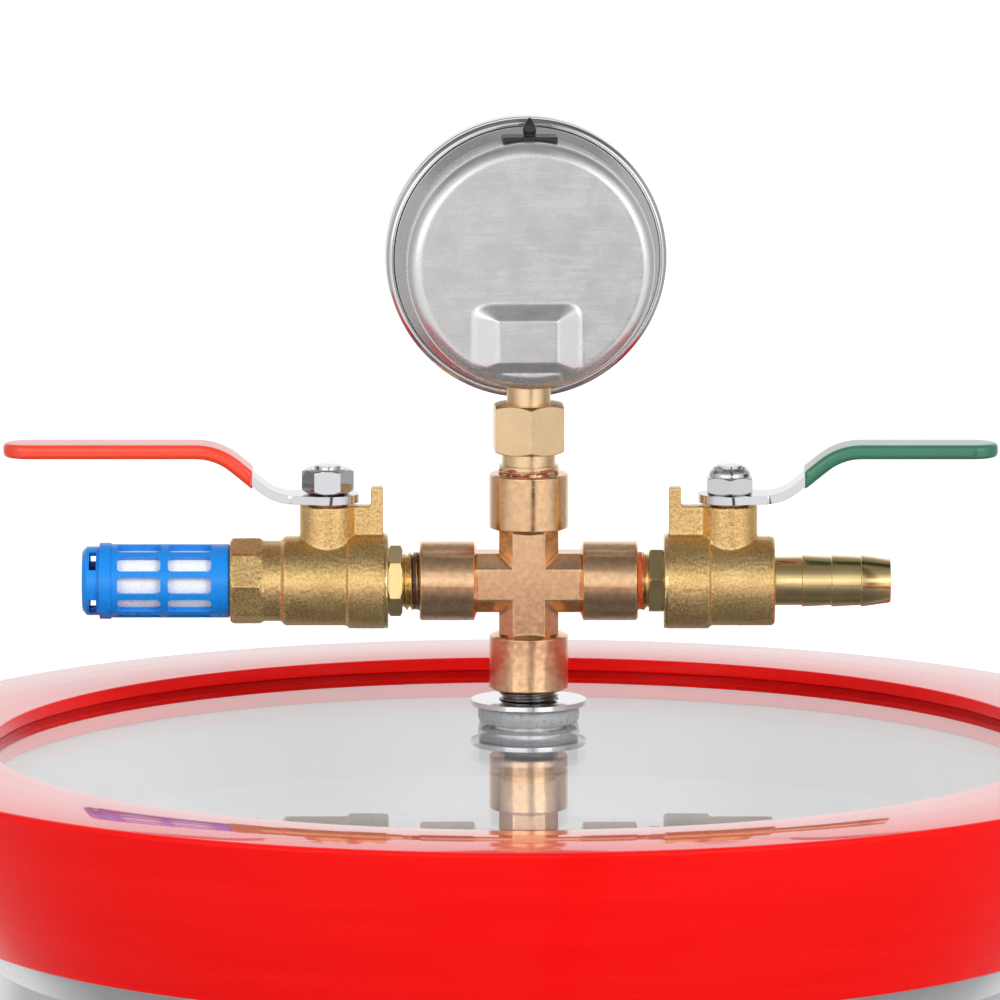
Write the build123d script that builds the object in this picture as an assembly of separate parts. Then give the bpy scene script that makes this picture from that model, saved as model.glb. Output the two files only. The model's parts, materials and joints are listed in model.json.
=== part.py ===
"""Vacuum degassing chamber, in millimetres.

A stainless pot is closed by a thick glass lid in a red silicone ring. A cross fitting on the lid carries
a vacuum gauge, an inlet ball valve with an air silencer and an outlet ball valve with a hose barb.
The origin is the middle of the pot's base. +Z is up, the dial looks along +Y and the barb along +X.
"""
import os
from math import cos, pi, radians, sin

from build123d import *

os.makedirs("parts", exist_ok=True)

# ---------------------------------------------------------------- pot
pot_radius = 118.5  # outside of the straight wall
pot_wall = 1.2
pot_height = 245.0  # base to the top of the rolled rim
pot_corner_radius = 14.0
collar_step = 6.5  # the collar under the rim is this much wider than the wall
collar_height = 20.0
shoulder_drop = 7.0  # height of the slope between collar and wall
bead_overhang = 1.6  # the slope's lower edge stands out this far from the wall
bead_rise = 0.5
bead_edge = 0.3
collar_corner_radius = 2.5
rim_corner_radius = 1.4
rim_width = 5.5  # the rim stands out this far from the collar
rim_curl = 4.6

# ---------------------------------------------------------------- lid ring and glass
ring_wall = 11.2  # rubber outside the glass, at the top
ring_cover = 18.0  # rubber over the glass edge, measured along the radius
ring_skirt = 3.5  # rubber outside the collar, at the ring's foot
ring_height = 38.6
ring_lip = 3.0  # lip over the glass
ring_seat = 4.5  # pad between glass and pot rim
ring_edge = 1.2
soft_gap = 0.3  # air between the soft ring and what it surrounds
glass_overhang = 5.5  # the glass stands out this far from the rim
glass_thickness = 12.0
glass_arris = 0.8

# ---------------------------------------------------------------- lid port
port_x = 2.2
port_y = 44.0
pipe_thread = 13.4  # 1/4 inch taper pipe thread, drawn plain
thread_gap = 0.05
port_hole = 16.0
washer_diameter = 26.2
washer_thickness = 1.2
seal_diameter = 22.1
upper_seal_thickness = 4.0
lower_seal_thickness = 2.5
port_nut_flats = 19.0
port_nut_height = 6.0
nut_edge = 0.15  # chamfer past the flats, on every nut
seal_edge = 0.3
washer_edge = 0.2
nipple_bore = 7.5
nipple_stickout = 2.0
nipple_edge = 0.5
thread_clearance = 0.5  # end of a thread to the bottom of its socket

# ---------------------------------------------------------------- cross fitting
cross_height = 32.2  # glass to the axis of the side ports
cross_reach = 24.7
collar_diameter = 17.9
collar_length = 12.3
collar_cone = 0.9
arm_width = 13.4
arm_flat = 7.1
cross_bore = 8.6
thread_depth = 9.5
turned_chamfer = 0.4

# ---------------------------------------------------------------- ball valves
stem_place = 45.5  # cross axis to stem axis
insert_hex = 16.0  # across corners
insert_shank = 15.0
insert_shank_length = 6.6
insert_bore = 7.0
flange_diameter = 21.6
flange_end = 41.2
barrel_diameter = 20.2
barrel_end = 55.7
barrel_edge = 0.5
flange_edge = 0.4
machined_rim = 0.9
boss_diameter = 12.6
boss_height = 17.4
lug_thickness = 4.0
shelf_height = 17.3
tab_width = 2.7
tab_height = 21.4
lug_gap = 1.2  # stop lug starts this far inside the flange face
cavity_diameter = 14.2
ball_diameter = 12.7
ball_bore = 7.0
seat_gap = 0.1
seat_back = 1.4  # seat behind the ball's end
seat_reach = 4.3  # stem axis to the seats' near faces
seat_bore = 7.6
stem_diameter = 6.0
stem_gap = 0.05
tang_width = 2.4
tang_length = 5.4
tang_depth = 2.2
tang_gap = 0.1
stem_collar_diameter = 7.6
stem_collar_height = 1.8
stem_collar_gap = 0.3  # ball to collar
collar_room = 0.1
gland_diameter = 8.8
gland_depth = 4.2
gland_rise = 0.6
lever_gap = 0.2
lever_thickness = 1.9
lever_width = 10.0
lever_eye_radius = 7.2
lever_rise = 10.9
lever_bend_start = 12.0  # stem axis to the foot of the bend
lever_bend_end = 25.5
lever_bend_radius = 12.0
lever_flats = 4.6
lever_hole_gap = 0.05
lever_neck = 9.0  # stem axis to the full-width handle
grip_start = 16.8  # along the pipe from the stem axis
grip_wall = 0.7
grip_side = 0.8
grip_edge = 0.7
nut_flats = 10.2
nut_height = 5.8
stem_point = 0.6
dome_start = 0.72  # share of the nut height
dome_taper = 1.0
octagon_corners = 19.7
octagon_length = 7.4
octagon_neck_diameter = 18.2
octagon_neck_end = 60.2
octagon_edge = 0.7
silencer_thread = 13.0
outlet_bore = 8.0
silencer_port_depth = 9.0

# ---------------------------------------------------------------- hose barb, turned on the outlet body
barb_neck_diameter = 11.0
barb_neck_length = 6.2
barb_pitch = 6.7
barb_count = 3
barb_diameter = 11.7
barb_tip_diameter = 9.8
barb_bore = 6.4

# ---------------------------------------------------------------- silencer
silencer_diameter = 16.7
silencer_wall = 1.4
silencer_base = 4.0
silencer_cage_length = 27.0
silencer_windows = 10
window_length = 9.8
window_spacing = 11.5
window_arc = 25.5  # degrees
element_bore = 7.0
element_gap = 0.1
element_standout = 2.0  # past the cage, into the cap
window_corner = 0.8
window_start = 0.2  # cage floor to the first windows
cage_edge = 0.4
cap_collar_diameter = 17.3
cap_collar_length = 2.6
cap_end_diameter = 15.6
cap_length = 6.5
cap_wall = 1.3
cap_slots = 4
cap_slot_width = 1.6
cap_slot_length = 5.0
cap_slot_place = 1.5  # collar to the middle of a slot
cap_edge = 1.0

# ---------------------------------------------------------------- gauge
gauge_height = 105.0  # glass to the middle of the dial
gauge_turn = 3.6  # degrees, about the upright axis
case_radius = 28.0
case_wall = 0.7
case_back = -11.0
case_shoulder = 3.2  # radius of the rounded back edge
flare_radius = 1.0
case_flare_start = 3.0
case_flare_end = 5.0
case_front = 13.0
case_lip_radius = 30.0
bezel_radius = 31.8
bezel_back = 6.5
bezel_front = 17.0
bezel_wall = 0.8
bezel_window_radius = 27.6
bezel_edge = 1.2
bezel_back_edge = 0.8
bezel_groove = 0.5
bezel_groove_place = 3.0
bezel_crimp_gap = 0.2
lens_margin = 1.6  # bezel outside to lens edge
lens_thickness = 2.0
dial_radius = 27.0
dial_place = 9.0
dial_thickness = 0.6
boss_window = (24.0, 16.6)
boss_face = (13.2, 9.3)
boss_rise = 2.6
boss_corner = 3.0
boss_centre = (-1.0, -16.6)
tongue_size = (16.6, 9.0)
tongue_overlap = 1.6  # the tongue starts this far up the boss
tongue_rise = 0.9
tongue_margin = 0.8  # inside the edge of the case
socket_flats = 15.5
socket_hex_bottom = 61.6
socket_hex_top = 72.8
socket_neck_diameter = 12.1
socket_thread_end = 58.8
socket_bore = 4.0
socket_block_width = 11.0
socket_block_back = -7.3
socket_block_front = 2.0  # behind the sector's sweep
socket_block_top = -15.0
socket_post_diameter = 10.0
socket_block_height = 8.0
socket_post_gap = 0.2
tube_radius = 20.0  # pressure tube, middle of its flattened section
tube_width = 8.0
tube_height = 2.6
tube_wall = 0.4
tube_start = 17.8  # degrees past straight down
tube_sweep = 250.0
tube_middle = -3.5
tip_length = 3.0
tip_margin = 0.3
link_width = 1.6
link_thickness = 0.5
link_place = 1.5
gear_module = 0.25
pinion_teeth = 10
sector_teeth = 80  # on the full circle
sector_cut_teeth = 12
gear_backlash = 0.08
gear_thickness = 1.0
gear_place = 2.6
gear_hub_diameter = 3.6
gear_hub_margin = 0.6
sector_arm = (5.0, 1.8)
sector_arm_place = (-1.8, -1.6)  # from the sector axis
link_pin_place = (-3.4, -1.6)
sector_root = 1.6
plate_size = (13.0, 19.0)
plate_thickness = 0.8
rear_plate_place = -0.6
front_plate_place = 6.0
arbor_diameter = 1.2
arbor_gap = 0.04
arbor_stickout = 0.2
needle_stickout = 0.6  # arbor past the needle
post_diameter = 2.2
post_margin = 0.3
needle_length = 20.0
needle_tail = 7.0
needle_width = 1.8
needle_thickness = 0.5
needle_hub_diameter = 5.0
needle_point = 0.5
needle_place = 11.0
needle_rest = 225.0  # degrees from +X towards +Z
plug_place = -2.5  # in front of the socket's axis
plug_width = 12.3
plug_thickness = 0.9
plug_hole = 4.0
plug_nub_radius = 1.6
plug_nub_height = 4.2
plug_stalk_gap = 0.05
plug_stalk_length = 1.5

# ---------------------------------------------------------------- derived radii and heights
collar_radius = pot_radius + collar_step
rim_radius = collar_radius + rim_width
glass_radius = rim_radius + glass_overhang
ring_radius = glass_radius + soft_gap + ring_wall
ring_opening_radius = glass_radius - ring_cover
ring_foot_radius = collar_radius + soft_gap + ring_skirt
rim_top = pot_height
glass_bottom = rim_top + ring_seat
glass_top = glass_bottom + glass_thickness
ring_top = glass_top + ring_lip
cross_z = glass_top + cross_height
gauge_z = glass_top + gauge_height
port = Location((port_x, port_y, glass_top))
pipe_axis = Location((port_x, port_y, cross_z))
gauge_frame = Location((port_x, port_y, gauge_z), (0, 0, gauge_turn))

nodes = {}


def turned(points, axis=Axis.Z):
    """Solid of revolution. Points are (radius, height) about Z, and (place, radius) about X or Y."""
    plane = {Axis.Z: Plane.XZ, Axis.X: Plane.XZ, Axis.Y: Plane.YZ}[axis]
    return revolve(plane * make_face(Polyline(*points, close=True)), axis)


def rod(start, end, diameter, axis=Axis.Z):
    """Plain round bar along an axis."""
    radius = diameter / 2
    if axis == Axis.Z:
        return turned([(0, start), (radius, start), (radius, end), (0, end)])
    return turned([(start, 0), (start, radius), (end, radius), (end, 0)], axis)


def tube(start, end, outer, inner, axis=Axis.Z, edge=0.0):
    """Round tube along an axis, with chamfered outer edges."""
    ro, ri, c = outer / 2, inner / 2, edge
    outline = [(start, ri), (start, ro - c), (start + c, ro), (end - c, ro), (end, ro - c), (end, ri)]
    if not c:
        outline = [(start, ri), (start, ro), (end, ro), (end, ri)]
    if axis == Axis.Z:
        return turned([(r, z) for z, r in outline])
    return turned(outline, axis)


def prism(plane, corners, radius, start, end, spin=0.0):
    """Regular bar from start to end along the plane's normal; radius is to its corners."""
    section = RegularPolygon(radius, corners, rotation=spin)
    return extrude(plane.offset(start) * section, end - start)


def hexagon_radius(flats):
    return flats / (2 * cos(radians(30)))


def nut(flats, height, bore, spin=0.0, dome=False):
    """Chamfered hexagon nut standing on z = 0."""
    corner = hexagon_radius(flats)
    edge = corner - flats / 2 + nut_edge
    crown = turned(
        [(bore / 2, 0), (corner - edge, 0), (corner, edge * 0.6), (corner, height - edge * 0.6),
         (corner - edge, height), (bore / 2, height)]
    )
    body = prism(Plane.XY, 6, corner, 0, height, spin) & crown
    if dome:
        shoulder = height * dome_start
        waist = flats / 2
        cap = turned(
            [(bore / 2, 0), (corner, 0), (corner, shoulder), (waist - nut_edge, shoulder + nut_edge),
             (waist - dome_taper, height), (bore / 2, height)]
        )
        body = body & cap
    return body


def sheet_section(path, thickness):
    """Section of a bent sheet: the path is its right-hand surface."""
    return make_face(offset(path, amount=thickness, side=Side.LEFT, closed=True))


# ---------------------------------------------------------------- pot, ring, glass
def make_pot():
    """One drawn sheet: the path is the outside of the wall and the underside of the rolled rim."""
    collar_bottom = pot_height - collar_height
    bead_top = collar_bottom - shoulder_drop
    rim_under = pot_height - pot_wall
    path = FilletPolyline(
        (0, 0),
        (pot_radius, 0),
        (pot_radius, bead_top - bead_rise),
        (pot_radius + bead_overhang, bead_top),
        (collar_radius, collar_bottom),
        (collar_radius, rim_under),
        (rim_radius - pot_wall, rim_under),
        (rim_radius - pot_wall, pot_height - rim_curl),
        radius=[
            pot_corner_radius, bead_edge, bead_edge, collar_corner_radius,
            rim_corner_radius, rim_corner_radius,
        ],
    )
    return revolve(Plane.XZ * sheet_section(path, pot_wall), Axis.Z)


def make_ring():
    foot = ring_top - ring_height
    skirt = collar_radius + soft_gap
    pocket = rim_radius + soft_gap
    hook = rim_top - rim_curl - soft_gap
    groove = glass_radius + soft_gap
    outline = [
        (ring_opening_radius, ring_top),
        (ring_radius - ring_edge, ring_top),
        (ring_radius, ring_top - ring_edge),
        (ring_foot_radius, foot),
        (skirt, foot),
        (skirt, hook),
        (pocket, hook),
        (pocket, rim_top),
        (ring_opening_radius, rim_top),
        (ring_opening_radius, glass_bottom),
        (groove, glass_bottom),
        (groove, glass_top),
        (ring_opening_radius, glass_top),
    ]
    return turned(outline)


def make_glass():
    c = glass_arris
    disc = turned(
        [(0, glass_bottom), (glass_radius - c, glass_bottom), (glass_radius, glass_bottom + c),
         (glass_radius, glass_top - c), (glass_radius - c, glass_top), (0, glass_top)]
    )
    hole = Pos(port_x, port_y, 0) * rod(glass_bottom - 1, glass_top + 1, port_hole)
    return disc - hole


nodes["pot"] = make_pot()
nodes["lid_ring"] = make_ring()
nodes["lid_glass"] = make_glass()


# ---------------------------------------------------------------- lid port, heights from the glass top
def make_port():
    bore = pipe_thread + 2 * thread_gap
    seal_top = upper_seal_thickness
    under = -glass_thickness
    lower_seal_end = under - lower_seal_thickness
    lower_washer_end = lower_seal_end - washer_thickness
    nut_end = lower_washer_end - port_nut_height
    engaged = cross_height - cross_reach + thread_depth - thread_clearance
    port_nut = nut(port_nut_flats, port_nut_height, bore)
    return {
        "upper_seal": tube(0, seal_top, seal_diameter, bore, edge=seal_edge),
        "upper_washer": tube(seal_top, seal_top + washer_thickness, washer_diameter, bore, edge=washer_edge),
        "lower_seal": tube(lower_seal_end, under, seal_diameter, bore, edge=seal_edge),
        "lower_washer": tube(lower_washer_end, lower_seal_end, washer_diameter, bore, edge=washer_edge),
        "port_nut": Pos(0, 0, nut_end) * port_nut,
        "port_nipple": tube(nut_end - nipple_stickout, engaged, pipe_thread, nipple_bore, edge=nipple_edge),
    }


for name, solid in make_port().items():
    nodes[name] = port * solid


# ---------------------------------------------------------------- cross fitting, about its own centre
def cross_arm():
    """One arm along +X with its turned collar."""
    section = chamfer(Rectangle(arm_width, arm_width).vertices(), (arm_width - arm_flat) / 2)
    bar = extrude(Plane.YZ * section, cross_reach - collar_length)
    start = cross_reach - collar_length
    c = turned_chamfer
    collar = turned(
        [(start - collar_cone, 0), (start - collar_cone, arm_width / 2), (start, collar_diameter / 2),
         (cross_reach - c, collar_diameter / 2), (cross_reach, collar_diameter / 2 - c), (cross_reach, 0)],
        Axis.X,
    )
    return bar + collar


def make_cross():
    turns = [Rotation(0, 90 * n, 0) for n in range(4)]
    body = Part() + [turn * cross_arm() for turn in turns]
    passage = rod(0, cross_reach + 1, cross_bore, Axis.X)
    socket = rod(cross_reach - thread_depth, cross_reach + 1, pipe_thread + 2 * thread_gap, Axis.X)
    for turn in turns:
        body -= turn * (passage + socket)
    return body


nodes["cross_fitting"] = pipe_axis * make_cross()


# ---------------------------------------------------------------- ball valves, along +X from the cross centre
def make_insert(hex_start, body_start, spin):
    """Threaded end piece: taper thread, hexagon and the shank that holds the inner seat."""
    thread_start = cross_reach - thread_depth + thread_clearance
    shank_end = body_start + insert_shank_length
    piece = rod(thread_start, hex_start, pipe_thread, Axis.X)
    piece += prism(Plane.YZ, 6, insert_hex / 2, hex_start, body_start, spin)
    piece += rod(body_start, shank_end, insert_shank - 2 * thread_gap, Axis.X)
    return piece - rod(thread_start - 1, shank_end + 1, insert_bore, Axis.X)


def cavity_end():
    return stem_place + ball_diameter / 2 + seat_back


def barb_tail():
    """Turned hose tail with its ridges, as a solid bar."""
    neck = barb_neck_diameter / 2
    first = barrel_end + barb_neck_length
    outline = [(barrel_end - 1, 0), (barrel_end - 1, neck), (first, neck)]
    for n in range(barb_count):
        place = first + n * barb_pitch
        low = barb_tip_diameter / 2 if n == barb_count - 1 else neck
        outline += [(place, barb_diameter / 2), (place + barb_pitch, low)]
    return turned(outline + [(first + barb_count * barb_pitch, 0)], Axis.X)


def octagon_tail():
    """Necked octagon end for the silencer, as a solid bar."""
    end = octagon_neck_end + octagon_length
    tail = rod(barrel_end - 1, octagon_neck_end + 1, octagon_neck_diameter, Axis.X)
    corners = tube(octagon_neck_end, end, octagon_corners, 0.01, Axis.X, edge=octagon_edge)
    return tail + (prism(Plane.YZ, 8, octagon_corners / 2, octagon_neck_end, end) & corners)


def make_body(body_start, tail, tail_bore):
    """Cast body: flange, barrel, stem boss and stop lug, with its tail."""
    flange = flange_diameter / 2
    barrel = barrel_diameter / 2
    m = machined_rim
    body = turned(
        [(body_start, 0), (body_start, flange - 0.1), (body_start + m, flange),
         (flange_end - flange_edge, flange), (flange_end, barrel), (barrel_end - barrel_edge, barrel),
         (barrel_end, barrel - barrel_edge), (barrel_end, 0)],
        Axis.X,
    )
    body += Pos(stem_place, 0, 0) * rod(0, boss_height, boss_diameter)
    lug_start = body_start + lug_gap
    lug = Polyline(
        (lug_start, 0), (stem_place, 0), (stem_place, shelf_height), (lug_start + tab_width, shelf_height),
        (lug_start + tab_width, tab_height), (lug_start, tab_height), close=True,
    )
    body += extrude(Plane.XZ * make_face(lug), lug_thickness / 2, both=True)
    body += tail
    shank_end = body_start + insert_shank_length
    body -= rod(body_start - 1, shank_end, insert_shank, Axis.X)
    body -= rod(shank_end - 1, cavity_end(), cavity_diameter, Axis.X)
    body -= tail_bore
    bore = stem_diameter + 2 * stem_gap
    collar_top = stem_collar_base() + stem_collar_height + collar_room
    stem_hole = rod(0, collar_top, stem_collar_diameter + 2 * collar_room) + rod(0, boss_height + 1, bore)
    stem_hole += rod(boss_height - gland_depth, boss_height + 1, gland_diameter)
    return body - Pos(stem_place, 0, 0) * stem_hole


def stem_collar_base():
    return ball_diameter / 2 + stem_collar_gap


def make_seats(body_start):
    """Two soft rings that the ball turns between."""
    ball = Pos(stem_place, 0, 0) * Rotation(0, 90, 0) * Sphere(ball_diameter / 2 + seat_gap)
    shank_end = body_start + insert_shank_length
    outer = cavity_diameter - 2 * thread_gap
    inner_seat = tube(shank_end, stem_place - seat_reach, outer, seat_bore, Axis.X) - ball
    outer_seat = tube(stem_place + seat_reach, cavity_end(), outer, seat_bore, Axis.X) - ball
    return inner_seat, outer_seat


def make_ball():
    ball = Sphere(ball_diameter / 2) - rod(-10, 10, ball_bore, Axis.X)
    slot = Pos(0, 0, ball_diameter / 2) * Box(tang_width + 2 * tang_gap, 20, 2 * tang_depth)
    return ball - slot


def make_stem():
    tang_bottom = ball_diameter / 2 - tang_depth + tang_gap
    base = stem_collar_base()
    plate_bottom = boss_height + gland_rise + lever_gap
    top = plate_bottom + lever_thickness + nut_height + stem_point
    tang = Pos(0, 0, (tang_bottom + base + 0.5) / 2) * Box(tang_width, tang_length, base + 0.5 - tang_bottom)
    stem = tang & rod(0, top, stem_collar_diameter)
    stem += rod(base, base + stem_collar_height, stem_collar_diameter)
    stem += rod(base, plate_bottom, stem_diameter)
    flats = Box(stem_diameter, lever_flats, top - plate_bottom)
    upper = rod(plate_bottom, top, stem_diameter)
    below_nut = Pos(0, 0, (plate_bottom + top) / 2) * flats & upper
    threaded = rod(plate_bottom + lever_thickness, top, stem_diameter)
    return stem + below_nut + threaded


def bent_strip(tip, thickness, width, drop=0.0):
    """Strip along the lever's bend; drop lowers its underside below the lever's."""
    side = FilletPolyline(
        (0, -drop), (lever_bend_start, -drop), (lever_bend_end, lever_rise - drop), (tip, lever_rise - drop),
        radius=lever_bend_radius,
    )
    return extrude(Plane.XZ * sheet_section(side, thickness), width / 2, both=True)


def make_lever(reach):
    """Pressed lever: round eye, tapering neck and bent handle, with the stem axis at the origin."""
    strip = bent_strip(reach, lever_thickness, 3 * lever_eye_radius)
    half = lever_width / 2
    plan = Polyline(
        (0, lever_eye_radius), (lever_neck, half), (reach - half, half), (reach - half, -half),
        (lever_neck, -half), (0, -lever_eye_radius), close=True,
    )
    plan = make_face(plan) + Circle(lever_eye_radius) + Pos(reach - half, 0) * Circle(half)
    outline = extrude(plan, 2 * lever_rise)
    eye = rod(0, lever_thickness, 2 * lever_eye_radius)
    hole_diameter = stem_diameter + 2 * lever_hole_gap
    hole = Box(hole_diameter, lever_flats + 2 * lever_hole_gap, 10) & rod(-5, 5, hole_diameter)
    return (strip & outline) + eye - hole


def make_grip(lever, tip):
    """Dipped sleeve over the bent half of the lever."""
    width = lever_width + 2 * grip_side
    sleeve = bent_strip(tip, lever_thickness + 2 * grip_wall, width, grip_wall)
    end = tip - width / 2
    plan = Pos((grip_start + end) / 2, 0) * Rectangle(end - grip_start, width)
    plan = plan + Pos(end, 0) * Circle(width / 2)
    sleeve = sleeve & extrude(plan, 2 * lever_rise, both=True)
    long_edges = sleeve.edges().filter_by(lambda e: abs(e.center().Y) > width / 2 - 0.01 and e.length > 3)
    return fillet(long_edges, grip_edge) - lever


silencer_port_end = octagon_neck_end + octagon_length
silencer_port_start = silencer_port_end - silencer_port_depth
inlet_passage = rod(stem_place, silencer_port_start + 1, outlet_bore, Axis.X)
inlet_passage += rod(silencer_port_start, silencer_port_end + 1, silencer_thread + 2 * thread_gap, Axis.X)
barb_end = barrel_end + barb_neck_length + barb_count * barb_pitch
VALVES = {
    "inlet": {
        "turn": 180, "hex_start": 28.6, "body_start": 31.8, "hex_spin": 38, "reach": 70.5, "tip": 73.5,
        "tail": octagon_tail(), "passage": inlet_passage, "nut_spin": 0, "dome": False,
    },
    "outlet": {
        "turn": 0, "hex_start": 27.2, "body_start": 30.6, "hex_spin": 50, "reach": 57.8, "tip": 60.8,
        "tail": barb_tail(), "passage": rod(stem_place, barb_end + 1, barb_bore, Axis.X), "nut_spin": 30,
        "dome": True,
    },
}


def make_valve(prefix, dims):
    frame = pipe_axis * Rotation(0, 0, dims["turn"])
    stem_axis = frame * Pos(stem_place, 0, 0)
    plate = boss_height + gland_rise + lever_gap
    inner_seat, outer_seat = make_seats(dims["body_start"])
    body = make_body(dims["body_start"], dims["tail"], dims["passage"])
    lever = make_lever(dims["reach"])
    gland_top = boss_height + gland_rise
    gland_bottom = boss_height - gland_depth + collar_room
    gland = tube(gland_bottom, gland_top, gland_diameter - 2 * stem_gap, stem_diameter + 2 * stem_gap)
    stem_nut = nut(nut_flats, nut_height, stem_diameter + 2 * lever_hole_gap, dims["nut_spin"], dims["dome"])
    nodes[f"{prefix}_insert"] = frame * make_insert(dims["hex_start"], dims["body_start"], dims["hex_spin"])
    nodes[f"{prefix}_valve_body"] = frame * body
    nodes[f"{prefix}_seat_inner"] = frame * inner_seat
    nodes[f"{prefix}_seat_outer"] = frame * outer_seat
    nodes[f"{prefix}_gland"] = stem_axis * gland
    nodes[f"{prefix}_ball"] = stem_axis * make_ball()
    nodes[f"{prefix}_stem"] = stem_axis * make_stem()
    nodes[f"{prefix}_lever"] = stem_axis * Pos(0, 0, plate) * lever
    nodes[f"{prefix}_grip"] = stem_axis * Pos(0, 0, plate) * make_grip(lever, dims["tip"])
    nodes[f"{prefix}_stem_nut"] = stem_axis * Pos(0, 0, plate + lever_thickness) * stem_nut


for prefix, dims in VALVES.items():
    make_valve(prefix, dims)


# ---------------------------------------------------------------- silencer, along +X like the valves
def make_silencer():
    start = silencer_port_end
    outer = silencer_diameter / 2
    inner = outer - silencer_wall
    end = start + silencer_cage_length
    thread_start = silencer_port_start + thread_clearance
    cage = turned(
        [(thread_start, element_bore / 2), (thread_start, silencer_thread / 2), (start, silencer_thread / 2),
         (start, outer - cage_edge), (start + cage_edge, outer), (end, outer), (end, inner),
         (start + silencer_base, inner),
         (start + silencer_base, element_bore / 2)],
        Axis.X,
    )
    width = 2 * outer * sin(radians(window_arc / 2))
    for column in range(2):
        place = start + silencer_base + window_start + window_length / 2 + column * window_spacing
        window = RectangleRounded(window_length, width, window_corner)
        cutter = Pos(place, 0, 0) * extrude(window, 20)
        for n in range(silencer_windows):
            cage -= Rotation((n + 0.5) * 360 / silencer_windows, 0, 0) * cutter
    element_end = end + element_standout
    element = tube(start + silencer_base, element_end, 2 * (inner - element_gap), element_bore, Axis.X)
    collar = cap_collar_diameter / 2
    cap_outer = cap_end_diameter / 2
    cap_end = end + cap_length
    cap = turned(
        [(end, inner), (end, collar), (end + cap_collar_length, collar), (end + cap_collar_length, cap_outer),
         (cap_end - cap_edge, cap_outer), (cap_end, cap_outer - cap_edge), (cap_end, 0),
         (cap_end - cap_wall, 0), (cap_end - cap_wall, cap_outer - cap_wall),
         (element_end, cap_outer - cap_wall), (element_end, inner)],
        Axis.X,
    )
    slot_place = end + cap_collar_length + cap_slot_place
    slot = Pos(slot_place, 0, cap_outer) * Box(cap_slot_width, cap_slot_length, 2 * cap_wall + 1)
    for n in range(cap_slots):
        cap -= Rotation((n + 0.5) * 360 / cap_slots, 0, 0) * slot
    return cage, element, cap


cage, element, cap = make_silencer()
silencer_frame = pipe_axis * Rotation(0, 0, VALVES["inlet"]["turn"])
nodes["silencer_cage"] = silencer_frame * cage
nodes["silencer_element"] = silencer_frame * element
nodes["silencer_cap"] = silencer_frame * cap


# ---------------------------------------------------------------- gauge, from the middle of the dial
def case_section(inset):
    """Half section of the pan, or of the room inside its wall, from the axis outwards."""
    back = case_back + inset
    side = case_radius - inset
    lip = case_lip_radius - inset
    outline = FilletPolyline(
        (back, 0), (back, side), (case_flare_start, side), (case_flare_end, lip), (case_front, lip),
        radius=[case_shoulder - inset, flare_radius, flare_radius],
    )
    closing = Polyline((case_front, lip), (case_front, 0), (back, 0))
    return make_face([*outline.edges(), *closing.edges()])


def make_case():
    """Pressed steel pan with a raised window over the socket, drawn about its own axis."""
    w = case_wall
    blank = revolve(Plane.YZ * case_section(0), Axis.Y)
    room = revolve(Plane.YZ * case_section(w), Axis.Y)
    x, z = boss_centre
    back = Plane((x, case_back, z), x_dir=(1, 0, 0), z_dir=(0, -1, 0))
    foot = back * RectangleRounded(*boss_window, boss_corner)
    crest = back.offset(boss_rise) * RectangleRounded(*boss_face, boss_corner / 3)
    bump = loft([foot, crest])
    hollow = Rectangle(*[side - 2 * w for side in boss_window])
    hollow_crest = Rectangle(*[side - 2 * w for side in boss_face])
    inside = loft([back.offset(-2 * w) * hollow, back.offset(boss_rise - w) * hollow_crest])
    low = z - boss_window[1] / 2 + tongue_overlap - tongue_size[1] / 2
    tongue = Box(tongue_size[0], tongue_rise + 1, tongue_size[1])
    tongue = Pos(x, case_back - tongue_rise / 2 + 0.5, low) * tongue
    tongue = tongue & rod(case_back - 5, case_back + 5, 2 * (case_radius - tongue_margin), Axis.Y)
    entry = Pos(0, 0, -case_radius) * rod(-4, 4, socket_post_diameter + 2 * socket_post_gap)
    vent = Pos(0, plug_place, case_radius) * rod(-4, 4, plug_hole)
    return blank + bump + tongue - room - inside - entry - vent


def make_bezel():
    w = bezel_wall
    outer = bezel_radius
    crimp = case_lip_radius + bezel_crimp_gap
    groove = bezel_back + bezel_groove_place
    g = bezel_groove
    return turned(
        [(bezel_back, crimp), (bezel_back, outer - bezel_back_edge), (bezel_back + bezel_back_edge, outer),
         (groove, outer), (groove + g, outer - g), (groove + 2 * g, outer - g), (groove + 3 * g, outer),
         (bezel_front - bezel_edge, outer), (bezel_front, outer - bezel_edge),
         (bezel_front, bezel_window_radius), (bezel_front - w, bezel_window_radius),
         (bezel_front - w, outer - 1.5), (case_front - 1.0, crimp)],
        Axis.Y,
    )


def tooth_ring(teeth, count, first, phase):
    """Outline points of a run of straight-flanked teeth, by angle from +Z towards +X."""
    pitch_radius = gear_module * teeth / 2
    tip = pitch_radius + 0.8 * gear_module
    root = pitch_radius - 1.25 * gear_module
    pitch = 2 * pi / teeth
    half_root = pitch * 0.27
    half_tip = pitch * 0.12
    half_root -= gear_backlash / (2 * pitch_radius)
    points = []
    for n in range(count):
        middle = phase + (first + n) * pitch
        for angle, radius in ((-half_root, root), (-half_tip, tip), (half_tip, tip), (half_root, root)):
            points.append((radius * sin(middle + angle), radius * cos(middle + angle)))
    return points


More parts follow.
